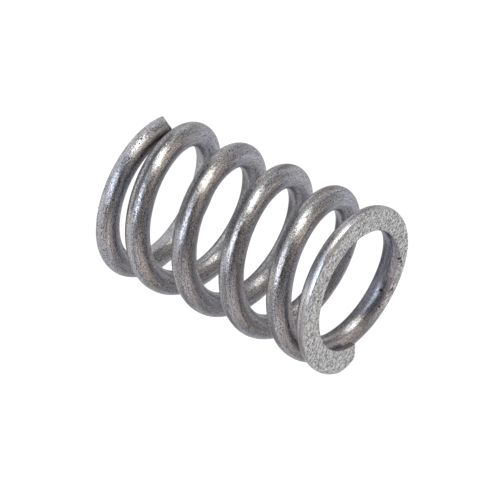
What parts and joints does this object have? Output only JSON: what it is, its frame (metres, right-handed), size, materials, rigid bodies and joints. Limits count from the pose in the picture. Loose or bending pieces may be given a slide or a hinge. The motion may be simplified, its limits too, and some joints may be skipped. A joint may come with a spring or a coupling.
{
  "type": "compression spring",
  "caption": "Right-hand helical compression spring of round steel wire, with both ends closed and ground flat.",
  "frame": {"origin": "on the coil axis, in the plane of the bottom ground face", "axes": "+Z along the coil axis from the bottom face to the top face, +X through the bottom wire tip"},
  "size_m": [0.014, 0.014, 0.0212],
  "materials": {
    "spring_wire": "drawn spring wire with a dull oxidised skin, bare ground metal on both end faces"
  },
  "bodies": {
    "root": {"coil_spring": "spring_wire"}
  },
  "joints": []
}
